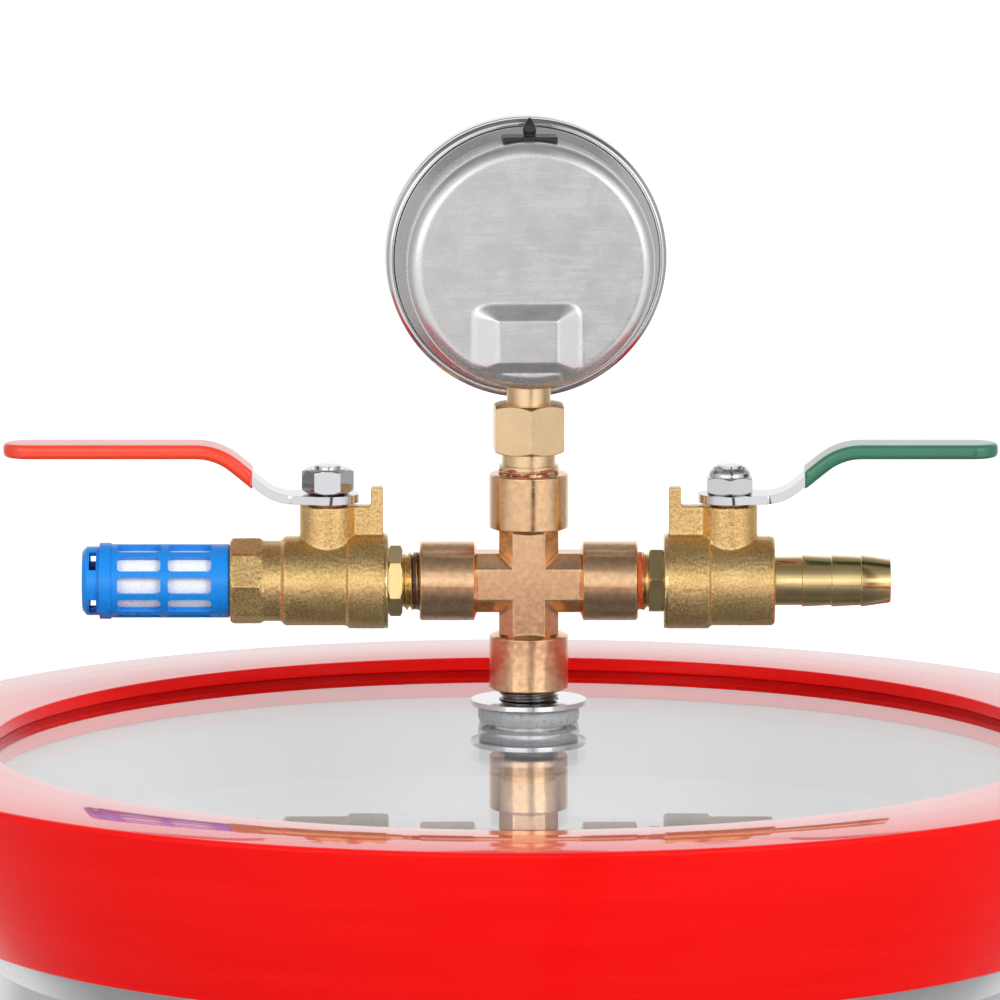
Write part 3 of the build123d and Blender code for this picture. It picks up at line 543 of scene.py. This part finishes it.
# ---------------------------------------------------------------- pot, ring and glass
def make_pot():
    """One drawn sheet with a rolled rim; the inside has a rougher, evener finish than the outside, and a darker
    grey that is painted shade.
    """
    wall, radius, collar, rim = POT_WALL, POT_RADIUS, COLLAR_RADIUS, POT_HIGH.x
    top = POT_HIGH.z
    curl_end = top - 4.6 * MM
    collar_low = top - 20 * MM
    bead = collar_low - 7 * MM
    outside = [
        (HAIR, 0.0), (radius, 0.0), (radius, bead - 0.5 * MM), (radius + 1.6 * MM, bead),
        (collar, collar_low), (collar, top - wall), (rim - wall, top - wall), (rim - wall, curl_end),
    ]
    inside = [
        (rim, curl_end), (rim, top), (collar - wall, top), (collar - wall, collar_low + 0.5 * MM),
        (radius + 0.6 * MM, bead), (radius - wall, bead - 1.2 * MM), (radius - wall, wall), (HAIR, wall),
    ]
    bends = [0, 14, 0.4, 0.5, 2.5, 0.8, 0.8, 0.3, 0.3, 1.9, 1.4, 2.0, 1.0, 0.8, 12.8, 0]
    outline = rounded(outside + inside, [bend * MM for bend in bends], 8)
    pot = lathe("pot_shell", GROUND, outline, "pot", 256, sharp=50)
    pot.data.materials.append(POT_INSIDE_SHADED)
    # Faces inside the pot take the darker copy of the steel, which is painted shade.
    for face in pot.data.polygons:
        outwards = face.center.to_2d()
        faces_in = face.normal.to_2d().dot(outwards) < 0 or face.normal.z > 0.5
        face.material_index = int(face.center.z > wall * 0.9 and outwards.length < collar and faces_in)


def make_ring():
    """Flared silicone ring: a groove for the glass, a pocket for the pot's rim and a skirt round it."""
    opening, foot = 118.0 * MM, 128.8 * MM
    skirt, pocket, groove = 125.3 * MM, 130.8 * MM, 136.3 * MM
    rim_top = POT_HIGH.z
    pocket_low = rim_top - 4.9 * MM
    outline = [
        (opening, RING_TOP), (RING_HIGH.x, RING_TOP), (foot, RING_LOW.z), (skirt, RING_LOW.z),
        (skirt, pocket_low), (pocket, pocket_low), (pocket, rim_top), (opening, rim_top),
        (opening, GLASS_LOW.z), (groove, GLASS_LOW.z), (groove, GLASS_TOP), (opening, GLASS_TOP),
    ]
    bends = [0.4, 0.9, 0.7, 0.5, 0.3, 0.3, 0.3, 0.5, 0.4, 0.3, 0.3, 0.3]
    outline = rounded(outline, [bend * MM for bend in bends], 5)
    ring = lathe("lid_ring_rubber", GROUND, outline, "lid_ring", 320, sharp=50)
    ring.data.materials.append(RING_TOP_SHEEN)
    # The top face takes the lighter, glossier copy of the silicone: painted sheen.
    for face in ring.data.polygons:
        face.material_index = int(face.center.z > RING_TOP - 0.2 * MM)


def make_glass():
    """Disc with polished arrises and one drilled hole."""
    low, high = GLASS_LOW.z, GLASS_TOP
    hole = 8.0 * MM

    def edge(radius, arris):
        """Radii and heights up an edge; a negative arris opens outwards, as at the hole."""
        wide, tall = arris * 0.3, abs(arris) * 0.3
        return [
            (radius - arris, low), (radius - wide, low + tall), (radius, low + abs(arris)),
            (radius, high - abs(arris)), (radius - wide, high - tall), (radius - arris, high),
        ]

    loops = [ring_loop(GROUND, z, 192, r) for r, z in edge(GLASS_HIGH.x, 0.8 * MM)]
    loops += [ring_loop(STACK, z, 192, r) for r, z in reversed(edge(hole, -0.8 * MM))]
    as_piece("lid_glass_disc", *skinned(loops), node="lid_glass", sharp=12)


# ---------------------------------------------------------------- port stack
def stack_piece(node, bulge=0.0, edge=0.25):
    """A washer, or a seal squeezed so that its side bulges."""
    low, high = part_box(node)
    radius = (high.x - low.x) / 2
    shares = [n / 6 for n in range(1, 6)]
    side = [(radius + bulge * MM * math.sin(math.pi * t), low.z + (high.z - low.z) * t) for t in shares]
    outline = [(STACK_BORE, low.z), (radius, low.z)] + side + [(radius, high.z), (STACK_BORE, high.z)]
    bends = [0.05 * MM, edge * MM] + [0.0] * 5 + [edge * MM, 0.05 * MM]
    lathe(f"{node}_turned", STACK, rounded(outline, bends, 4), node, 96, sharp=40)


def paste_and_shade_band(name, place, radius, low, high, material, seed, swell=0.5, body="chamber"):
    """A rough band round a joint: squeezed-out thread sealant, and at the inlet a dark band that is painted shade
    of the joint's gap; seed picks its lumps, swell is in millimetres.
    """
    def shape(angle, height):
        t = (height - low) / (high - low)
        around = Vector((math.cos(angle), math.sin(angle), 0)) * 3.0
        lump = noise.noise(around + Vector((seed, seed, height / (0.7 * MM))))
        ridge = noise.noise(around * 3 + Vector((seed * 2, 0, height / (0.25 * MM))))
        return radius + swell * MM * (math.sin(math.pi * t) ** 0.5 * (0.5 + 0.5 * lump) + 0.15 * ridge)

    heights = stations(low, high, 0.15 * MM)
    bore = radius - 0.6 * MM
    bar(name, place, [(heights, shape)], bore=bore, count=96, material=material, body=body, sharp=70)


def make_port():
    """Seals, washers, threaded nipple and nut through the glass."""
    stack_piece("upper_seal", 0.5, 0.5)
    stack_piece("lower_seal", 0.4, 0.5)
    stack_piece("upper_washer")
    stack_piece("lower_washer")
    low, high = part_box("port_nipple")
    winding = thread((high.x - low.x) / 2, 0.75 * MM, PIPE_PITCH, low.z, high.z)
    turns = stations(low.z, high.z, FINE_STEP)
    bar("port_nipple_thread", STACK, [(turns, winding)], "port_nipple", 3.75 * MM, 64, sharp=60)
    low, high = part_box("port_nut")
    flats = 19.0 * MM
    nut = [(hex_heights(low.z, high.z), hexagon(flats, low.z, high.z))]
    bar("port_nut_hex", STACK, nut, "port_nut", STACK_BORE, 72, sharp=25)
    low, high = GLASS_LOW.z + 1 * MM, GLASS_TOP - 0.8 * MM
    paste_and_shade_band("port_sealant", STACK, STACK_BORE, low, high, SEALANT_ROSE, 2.0, 0.45)


# ---------------------------------------------------------------- valves
# Millimetres from the cross's centre out to the insert's hexagon and to the body, and the turns of the insert
# and the stem nut in degrees
VALVES = {
    "inlet": {
        "hex": 28.6, "body": 31.8, "spin": -52.0, "nut_spin": 0.0, "nylon": False,
        # The inlet's dark band at the joint is painted shade of the gap; the outlet's orange band is sealant.
        "sealant": GAP_SHADE_DARK, "sealant_seed": 5.0,
    },
    "outlet": {
        "hex": 27.2, "body": 30.6, "spin": 140.0, "nut_spin": 30.0, "nylon": True,
        "sealant": SEALANT_ORANGE, "sealant_seed": 9.0,
    },
}
BARREL_END = 55.7 * MM  # outer end of the outlet body's barrel, from the cross's centre
BARB_RIDGES = 3


def make_insert(side, dims):
    """Threaded end piece: taper thread, hexagon and the shank inside the valve body."""
    place = along_pipe(side) @ Matrix.Rotation(math.radians(dims["spin"]), 4, "Z")
    start = CROSS_REACH - 9.0 * MM
    hex_low, hex_high = dims["hex"] * MM, dims["body"] * MM
    winding = thread(6.7 * MM, 0.8 * MM, PIPE_PITCH, start, hex_low)
    across_corners = 16.0 * MM
    flats = across_corners * math.cos(math.pi / 6)
    shank_radius, shank_end = 7.45 * MM, hex_high + 6.6 * MM
    bar(f"{side}_insert_thread", place, [
        (stations(start, hex_low, FINE_STEP), winding),
        (hex_heights(hex_low, hex_high), hexagon(flats, hex_low, hex_high, -0.3 * MM)),
        (stations(hex_high, shank_end, 3 * MM), shank_radius),
    ], f"{side}_insert", 3.5 * MM, 96, sharp=35)
    low, high = CROSS_REACH - 0.4 * MM, CROSS_REACH + 1.5 * MM
    # The band at the thread: sealant on the outlet, painted shade of the gap on the inlet.
    paste_and_shade_band(f"{side}_thread_joint_band", place, 6.3 * MM, low, high, dims["sealant"], dims["sealant_seed"], 0.55)


def make_valve_body(side, dims):
    """Cast skin with sand grain; the flange's face and what stands above the boss are cut clean."""
    sign = 1 if side == "outlet" else -1

    def reach(place):
        return sign * (place.x - CROSS.x)

    def relief(place):
        if reach(place) < (dims["body"] + 1.1) * MM or place.z > CROSS.z + 17.0 * MM:
            return 0.0
        grain = noise.noise(place / (0.75 * MM)) + 0.6 * noise.noise(place / (0.38 * MM))
        return 0.05 * MM * grain

    keep = (lambda place: reach(place) < BARREL_END + 0.4 * MM) if side == "outlet" else None
    skin = softened(f"{side}_valve_body", 0.3, 2, relief, keep)
    skin.data.materials.append(MATERIALS["turned_brass"])
    for face in skin.data.polygons:
        face.material_index = int(reach(face.center) < (dims["body"] + 1.0) * MM)


def make_barb():
    """Turned hose tail on the outlet body: a neck and three sawtooth ridges."""
    neck, ridge, tip, bore = 5.5 * MM, 5.85 * MM, 4.9 * MM, 3.2 * MM
    first, pitch = BARREL_END + 6.2 * MM, 6.7 * MM
    outline = [(bore, BARREL_END - 3 * MM), (neck, BARREL_END - 3 * MM), (neck, first)]
    bends = [0.0, 0.0, 0.15 * MM]
    for n in range(BARB_RIDGES):
        place = first + n * pitch
        low = tip if n == BARB_RIDGES - 1 else neck
        outline += [(ridge, place + 0.01 * MM), (low, place + pitch)]
        bends += [0.25 * MM, 0.2 * MM]
    outline.append((bore, first + BARB_RIDGES * pitch))
    bends.append(0.3 * MM)
    lathe("outlet_hose_barb", along_pipe("outlet"), rounded(outline, bends, 4), None, 96, sharp=40,
          material=MATERIALS["turned_brass"], body="chamber")


def make_stem_nut(side, dims):
    """Plain chamfered hexagon on the inlet; on the outlet one with a domed crown and a nylon ring in it."""
    low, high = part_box(f"{side}_stem_nut")
    stem = middle(f"{side}_stem_nut")
    place = upright((stem.x, stem.y, 0)) @ Matrix.Rotation(math.radians(dims["nut_spin"]), 4, "Z")
    flats = 10.2 * MM
    name, node = f"{side}_stem_nut_hex", f"{side}_stem_nut"
    if not dims["nylon"]:
        parts = [(hex_heights(low.z, high.z), hexagon(flats, low.z, high.z, 0.5 * MM))]
        bar(name, place, parts, node, NUT_BORE, 72, sharp=25)
        return
    shoulder = low.z + 0.68 * (high.z - low.z)
    shape = hexagon(flats, low.z, shoulder, 0.1 * MM)
    crown = [(t, 4.75 * MM - 0.9 * MM * ((t - shoulder) / (high.z - shoulder)) ** 2.5)
             for t in stations(shoulder, high.z, 0.15 * MM)]
    parts = [(hex_heights(low.z, shoulder), shape)] + [([height], radius) for height, radius in crown]
    parts += [([high.z - 0.05 * MM], 3.6 * MM), ([high.z - 0.5 * MM], 3.5 * MM)]
    bar(name, place, parts, node, NUT_BORE, 72, sharp=25)
    inner, outer = 3.06 * MM, 3.48 * MM
    under, top = high.z - 1.2 * MM, high.z - 0.35 * MM
    lathe(f"{side}_nut_nylon", place, [(inner, under), (outer, under), (outer, top), (inner, top)], None, 64,
          material=NUT_NYLON, body=f"{side}_handle")


def make_valves():
    """Both ball valves with their inserts, nuts, levers and grips, and the outlet's hose tail."""
    for side, dims in VALVES.items():
        make_insert(side, dims)
        make_valve_body(side, dims)
        make_stem_nut(side, dims)
        bevelled(f"{side}_lever", 0.3)
        softened(f"{side}_grip", 0.3, 30)
    make_barb()


# ---------------------------------------------------------------- gauge
def eased(t, soft):
    """0 to 1 as t goes from 0 to 1, straight between rounded ends."""
    if t <= -soft:
        return 0.0
    if t < soft:
        return (t + soft) ** 2 / (4 * soft)
    if t <= 1 - soft:
        return t
    if t < 1 + soft:
        return 1 - (1 + soft - t) ** 2 / (4 * soft)
    return 1.0


def case_relief(x, y):
    """Height in millimetres of the window and tongue pressed into the back, at a place seen from the dial."""
    across, up = abs(-x + 1.0), y + 16.6
    u = max(0.0, (across - 6.6) / 5.4)
    v = max(0.0, (abs(up) - 4.65) / 3.65)
    window = 2.6 * eased(1 - (u ** 3 + v ** 3) ** (1 / 3), 0.14)
    down = -(up + 6.7)
    tongue = 0.9 * eased((8.3 - across) / 0.9, 0.3) * eased(down / 0.6, 0.4)
    return max(window, tongue)


def make_case():
    """Pressed pan: back with its window, rounded shoulder, barrel and flared lip, and back inside again."""
    place = gauge_frame()
    radius, lip, wall, shoulder = 28.0, 30.0, 0.7, 3.2
    back, front = -11.0, 13.0
    flat = radius - shoulder
    centre = 0.05
    count = 384
    tongue_rise = 0.9

    def loop(r, z, rise):
        """Points round the case at a radius and height, set back by the rise at each place."""
        points = []
        for k in range(count):
            angle = 2 * math.pi * k / count
            x, y = r * math.cos(angle), r * math.sin(angle)
            points.append(place @ (Vector((x, y, z - rise(x, y))) * MM))
        return points

    def faded(r, z):
        """The tongue's rise, running out over the rounded shoulder."""
        share = max(0.0, 1 - (r - flat) / (0.8 * shoulder)) if z < back + shoulder and r > flat else 0.0
        return lambda x, y: min(tongue_rise, case_relief(x, y)) * share

    turns = stations(0.1, math.pi / 2, 0.1)
    side = [(flat + shoulder * math.sin(t), back + shoulder * (1 - math.cos(t))) for t in turns]
    side += [
        (radius, 0.0), (radius, 2.6), (radius + 0.15, 3.0), (lip - 0.15, 5.0), (lip, 5.4), (lip, front),
        (lip - wall, front), (lip - wall, 5.4), (radius - wall, 3.0), (radius - wall, back + shoulder),
        (flat, back + wall), (centre, back + wall),
    ]
    loops = [loop(r, back, case_relief) for r in stations(centre, flat, 0.2)]
    loops += [loop(r, z, faded(r, z)) for r, z in side]
    as_piece("gauge_case_pan", *skinned(loops, closed=False), node="gauge_case", sharp=50)


def make_plug():
    """Rubber vent plug: a saddle flange and a pointed nub."""
    mesh = modified(copy_of("gauge_vent_plug"), ("REMESH", {"mode": "VOXEL", "voxel_size": 0.14 * MM}),
                    ("SMOOTH", {"factor": 0.5, "iterations": 6}))
    as_object("gauge_vent_plug_skin", mesh, "gauge_vent_plug", sharp=60)


def text_mesh(words, height):
    """Flat mesh of a text, centred on its origin."""
    curve = bpy.data.curves.new("words", "FONT")
    curve.body = words
    curve.size = height
    curve.align_x = curve.align_y = "CENTER"
    helper = bpy.data.objects.new("words", curve)
    bpy.context.scene.collection.objects.link(helper)
    mesh = bpy.data.meshes.new_from_object(helper.evaluated_get(bpy.context.evaluated_depsgraph_get()))
    bpy.data.objects.remove(helper)
    return mesh


def make_dial_print():
    """Ticks and plain numbers from 0 to -30, laid on the dial and read against the needle's 270 degrees."""
    sheet, ink = 0.6 * MM, 0.03 * MM
    dial_top = (middle("gauge_dial") - GAUGE).dot(GAUGE_AXIS) + sheet / 2
    scale, scale_rim, numbers = 24.6, 24.9, 17.6
    first_angle, sweep = -45, 270
    place = gauge_frame() @ Matrix.Translation((0, 0, dial_top + ink))
    bm = bmesh.new()
    for n in range(61):
        angle = math.radians(first_angle + sweep * n / 60)
        long = 3.4 if n % 10 == 0 else 2.2 if n % 2 == 0 else 1.3
        wide = 0.28 if n % 10 == 0 else 0.14
        turn = Matrix.Rotation(angle, 4, "Z")
        corners = [(scale - long, -wide), (scale, -wide), (scale, wide), (scale - long, wide)]
        bm.faces.new([bm.verts.new(place @ turn @ (Vector((x, y, 0)) * MM)) for x, y in corners])
    arc = [math.radians(first_angle + sweep * n / 90) for n in range(91)]
    for first, second in zip(arc, arc[1:]):
        ring = [(scale, first), (scale_rim, first), (scale_rim, second), (scale, second)]
        corners = [Vector((r * math.cos(a), r * math.sin(a), 0)) * MM for r, a in ring]
        bm.faces.new([bm.verts.new(place @ corner) for corner in corners])
    for n in range(7):
        angle = math.radians(first_angle + sweep * n / 6)
        centre = Vector((numbers * math.cos(angle), numbers * math.sin(angle), 0)) * MM
        words = text_mesh(str(5 * n) if n == 0 else f"-{5 * n}", 4.2 * MM)
        for vertex in words.vertices:
            vertex.co = place @ (vertex.co + centre)
        bm.from_mesh(words)
    mesh = bpy.data.meshes.new("gauge_dial_print")
    bm.to_mesh(mesh)
    bm.free()
    as_object("gauge_dial_print", mesh, None, DIAL_PRINT, body="chamber")


def make_gauge():
    """Case, plug, bezel and socket with its thread, and the print on the dial."""
    make_case()
    make_plug()
    bevelled("gauge_bezel", 0.25)
    bevelled("gauge_socket", 0.3, material=SOCKET_BRASS)
    make_dial_print()
    thread_low = CROSS.z + CROSS_REACH - 0.5 * MM
    thread_high = thread_low + 2.5 * MM
    winding = thread(6.9 * MM, 0.7 * MM, PIPE_PITCH, thread_low, thread_high)
    turns = stations(thread_low, thread_high, FINE_STEP)
    bar("gauge_socket_thread", STACK, [(turns, winding)], None, 5.9 * MM, 64, material=SOCKET_BRASS,
        body="chamber", sharp=60)
    top = thread_high - 0.4 * MM
    paste_and_shade_band("gauge_thread_joint_band", STACK, 6.4 * MM, thread_low, top, SEALANT_BROWN, 7.0, 0.75)


# ---------------------------------------------------------------- making
for node, piece in NODES.items():
    piece.data.materials.clear()
    piece.data.materials.append(MATERIALS[SLOT_OF[node]])
    piece.data.set_sharp_from_angle(angle=math.radians(35))

make_pot()
make_ring()
make_glass()
make_port()
bevelled("cross_fitting", 0.35)
make_valves()
bevelled("silencer_cage", 0.2)
bevelled("silencer_cap", 0.3)
make_gauge()


# ---------------------------------------------------------------- studio
FLOOR_GREY = ((0.70, 0.70, 0.70), (0.72, 0.72, 0.72))
FLOOR_GLOW = 0.72  # makes the table white to the camera and through the glass
PLAIN_LIGHT = 0.52  # brightness of the studio as light, apart from its lamps


def make_floor():
    """A pale table: white to the camera and through the glass, absent from reflections, its shadows kept."""
    bpy.ops.mesh.primitive_plane_add(size=12.0, location=(0, 0, 0))
    floor = bpy.context.object
    floor.name = "floor"
    paint = Paint("floor")
    paint.set(Base_Color=paint.ramp(paint.noise(3.0, 3.0), [(0.3, FLOOR_GREY[0]), (0.7, FLOOR_GREY[1])]))
    paint.set(Roughness=0.9, Specular_IOR_Level=0.0)
    rays = paint.node("LightPath")
    seen = paint.maths("MAXIMUM", rays.outputs["Is Camera Ray"], rays.outputs["Is Transmission Ray"])
    glow = paint.maths("MULTIPLY", seen, FLOOR_GLOW)
    paint.set(Emission_Color=(1.0, 1.0, 1.0, 1.0), Emission_Strength=glow)
    floor.visible_glossy = False
    floor.data.materials.append(paint.material)


# Brightness of the studio as polished metal mirrors it, by degrees round the object from the camera and by
# degrees above the horizon; the two are multiplied. The steep dip is a dark gap beside the camera.
AROUND = [
    (-180, 1.0), (-150, 1.0), (-136, 0.5), (-110, 0.45), (-80, 0.55), (-55, 0.9),
    (6.5, 1.0), (9.0, 0.05), (17.0, 0.05), (20.0, 1.0),
    (50, 1.0), (70, 0.8), (84, 0.45), (110, 0.45), (136, 0.5), (150, 1.0), (180, 1.0),
]
UPWARD = [(-90, 0.10), (-60, 0.14), (-42, 0.4), (-28, 1.0), (28, 1.0), (40, 0.45), (62, 0.26), (90, 0.22)]


def make_world():
    """White to the camera and through glass, bright and dark zones in reflections, plain grey as light."""
    world = bpy.data.worlds.new("studio")
    world.use_nodes = True
    tree = world.node_tree
    tree.nodes.clear()

    def node(kind, **settings):
        made = tree.nodes.new("ShaderNode" + kind)
        for key, value in settings.items():
            setattr(made, key, value)
        return made

    def maths(operation, *values):
        made = node("Math", operation=operation)
        for target, value in zip(made.inputs, values):
            if isinstance(value, bpy.types.NodeSocket):
                tree.links.new(value, target)
            else:
                target.default_value = value
        return made.outputs[0]

    def by_angle(angle, whole, stops):
        """Value at an angle in radians, from (degrees, value) stops."""
        ramp = node("ValToRGB")
        start = stops[0][0]
        turned = maths("SUBTRACT", angle, math.radians(start))
        tree.links.new(maths("DIVIDE", turned, math.radians(whole)), ramp.inputs[0])
        band = ramp.color_ramp
        while len(band.elements) < len(stops):
            band.elements.new(0.5)
        for element, (degrees, value) in zip(band.elements, stops):
            element.position = (degrees - start) / whole
            element.color = (value, value, value, 1)
        return ramp.outputs[0]

    parts = node("SeparateXYZ")
    tree.links.new(node("TexCoord").outputs["Generated"], parts.inputs[0])
    x, y, z = parts.outputs
    around = by_angle(maths("ARCTAN2", x, maths("MULTIPLY", y, -1.0)), 360, AROUND)
    upward = by_angle(maths("ARCSINE", z), 180, UPWARD)
    rays = node("LightPath")
    mirrored = maths("MULTIPLY", around, upward)
    plain = maths("MAXIMUM", rays.outputs["Is Camera Ray"], rays.outputs["Is Transmission Ray"])
    glossy = rays.outputs["Is Glossy Ray"]
    reflected = maths("MULTIPLY", glossy, mirrored)
    lighting = maths("MULTIPLY", maths("SUBTRACT", 1.0, glossy), PLAIN_LIGHT)
    lit = maths("ADD", reflected, lighting)
    strength = maths("ADD", plain, maths("MULTIPLY", maths("SUBTRACT", 1.0, plain), lit))
    white = node("Background")
    white.inputs["Color"].default_value = (1.0, 1.0, 1.0, 1.0)
    tree.links.new(strength, white.inputs["Strength"])
    tree.links.new(white.outputs[0], node("OutputWorld").inputs[0])
    bpy.context.scene.world = world


def area_light(name, place, target, width, height, power, mirrored=False):
    """Rectangular lamp aimed at the target; polished metal shows it only when mirrored."""
    data = bpy.data.lights.new(name, "AREA")
    data.shape = "RECTANGLE"
    data.size, data.size_y, data.energy = width, height, power
    lamp = bpy.data.objects.new(name, data)
    lamp.location = place
    lamp.rotation_euler = (Vector(target) - Vector(place)).to_track_quat("-Z", "Y").to_euler()
    lamp.visible_glossy = mirrored
    bpy.context.scene.collection.objects.link(lamp)


CAMERA_LENS = 385.9
CAMERA_PLACE = (-0.0043, -2.360, RING_TOP + 0.3877)
CAMERA_DOWN = 0.1405  # radians below the horizon


def make_camera():
    """The photo's camera, as fitted to the lid's edges."""
    data = bpy.data.cameras.new("camera")
    data.lens = CAMERA_LENS
    data.sensor_width = 36
    data.clip_end = 50
    camera = bpy.data.objects.new("camera", data)
    camera.location = CAMERA_PLACE
    camera.rotation_euler = (math.pi / 2 - CAMERA_DOWN, 0, 0)
    bpy.context.scene.collection.objects.link(camera)
    bpy.context.scene.camera = camera


make_floor()
make_world()
LID = (0, 0, 0.27)
area_light("key", (1.7, -1.9, 1.5), LID, 1.4, 1.2, 38)
area_light("fill", (-1.9, -1.7, 1.3), LID, 1.3, 1.1, 20)
area_light("softbox_left", (-1.08, -2.26, 0.72), (0, 0.04, 0.3), 2.1, 0.85, 5.5, True)
area_light("softbox_right", (1.25, -2.17, 0.72), (0, 0.04, 0.3), 1.7, 0.85, 5.5, True)
make_camera()
bpy.context.scene.view_settings.view_transform = "Standard"
